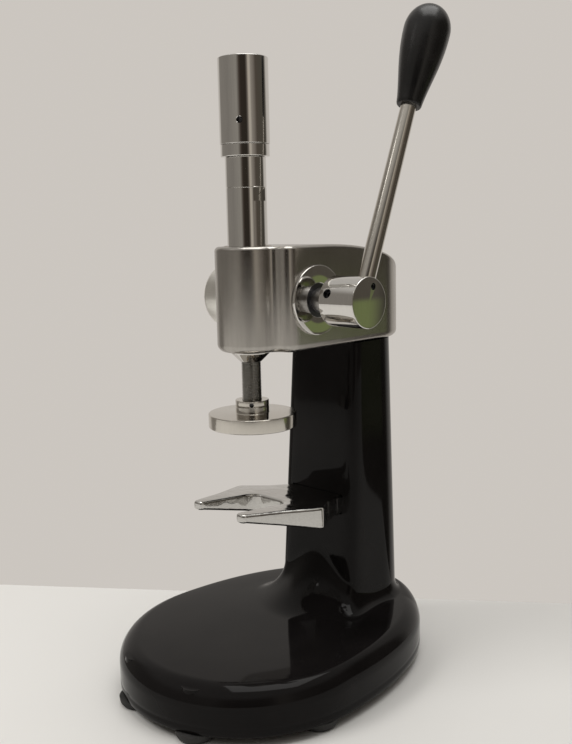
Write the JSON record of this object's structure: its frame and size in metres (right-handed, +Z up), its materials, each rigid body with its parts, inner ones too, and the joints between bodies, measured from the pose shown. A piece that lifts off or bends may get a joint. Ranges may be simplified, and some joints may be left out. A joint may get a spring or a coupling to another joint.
{
  "type": "coffee tamping press",
  "caption": "Lever press on a black cast stand: a rack-driven ram pushes a sprung flat round disc down towards a U-shaped portafilter fork.",
  "frame": {"origin": "on the surface under the feet, at the middle of the footprint", "axes": "+X towards the lever, -Y towards the user, +Z up along the ram"},
  "size_m": [0.176, 0.23, 0.4415],
  "materials": {
    "black_paint": "gloss",
    "rubber": "matte",
    "dark_steel": "satin",
    "polished_aluminium": "polished",
    "satin_aluminium": "satin",
    "bronze": "satin",
    "chrome": "mirror",
    "plain_steel": "satin",
    "cover_metal": "satin",
    "spring_steel": "satin",
    "polished_steel": "polished",
    "threaded_steel": "satin",
    "black_plastic": "satin gloss"
  },
  "bodies": {
    "stand": {"base_casting": "black_paint", "rubber_feet": "rubber", "foot_screws": "dark_steel", "fork": "polished_aluminium", "fork_screws": "dark_steel", "head_casting": "satin_aluminium", "head_screws": "dark_steel", "upper_guide_bush": "bronze", "lower_guide_bush": "bronze", "escutcheon": "chrome", "right_bush": "dark_steel", "left_bearing": "plain_steel", "spring_cover": "cover_metal", "cover_screws": "dark_steel", "return_spring": "spring_steel"},
    "lever": {"pinion_shaft": "plain_steel", "pinion": "dark_steel", "pinion_key": "dark_steel", "lever_hub": "chrome", "hub_set_screw": "dark_steel", "lever_rod": "polished_steel", "rod_lock_screw": "dark_steel", "lever_grip": "black_plastic"},
    "ram": {"ram_tube": "chrome", "pressure_spring": "spring_steel"},
    "lock_ring": {"cap_lock_ring": "chrome", "spring_follower": "plain_steel"},
    "cap": {"pressure_cap": "chrome"},
    "plunger": {"plunger_rod": "threaded_steel"},
    "nut": {"lock_nut": "polished_steel"},
    "disc": {"tamper_disc": "polished_steel"}
  },
  "joints": [
    {"name": "lever_turn", "type": "hinge", "parent": "stand", "child": "lever", "pos_m": [0, 0.0095, 0.2567], "axis": [1, 0, 0], "range_deg": [0, 125], "stiffness_Nm_per_rad": 0.5, "springref_deg": -68.75, "deforming": ["return_spring"]},
    {"name": "ram_slide", "type": "slide", "parent": "stand", "child": "ram", "axis": [0, 0, -1], "range_m": [0, 0.0394]},
    {"name": "cap_turn", "type": "hinge", "parent": "lock_ring", "child": "cap", "pos_m": [0, -0.019, 0.38], "axis": [0, 0, 1], "range_deg": [0, 2162]},
    {"name": "cap_advance", "type": "slide", "parent": "ram", "child": "lock_ring", "axis": [0, 0, 1], "range_m": [0, 0.009]},
    {"name": "plunger_slide", "type": "slide", "parent": "ram", "child": "plunger", "axis": [0, 0, 1], "range_m": [0, 0.008], "stiffness_N_per_m": 6000, "springref_m": -0.015, "deforming": ["pressure_spring"]},
    {"name": "disc_turn", "type": "hinge", "parent": "nut", "child": "disc", "pos_m": [0, -0.019, 0.18], "axis": [0, 0, -1], "range_deg": [0, 1802]},
    {"name": "disc_advance", "type": "slide", "parent": "plunger", "child": "nut", "axis": [0, 0, -1], "range_m": [0, 0.005]}
  ],
  "couplings": [
    {"joint": "ram_slide", "follows": "lever_turn", "m_per_rad": 0.018},
    {"joint": "cap_turn", "follows": "cap_advance", "rad_per_m": 4188.8},
    {"joint": "disc_turn", "follows": "disc_advance", "rad_per_m": 6283.2}
  ]
}
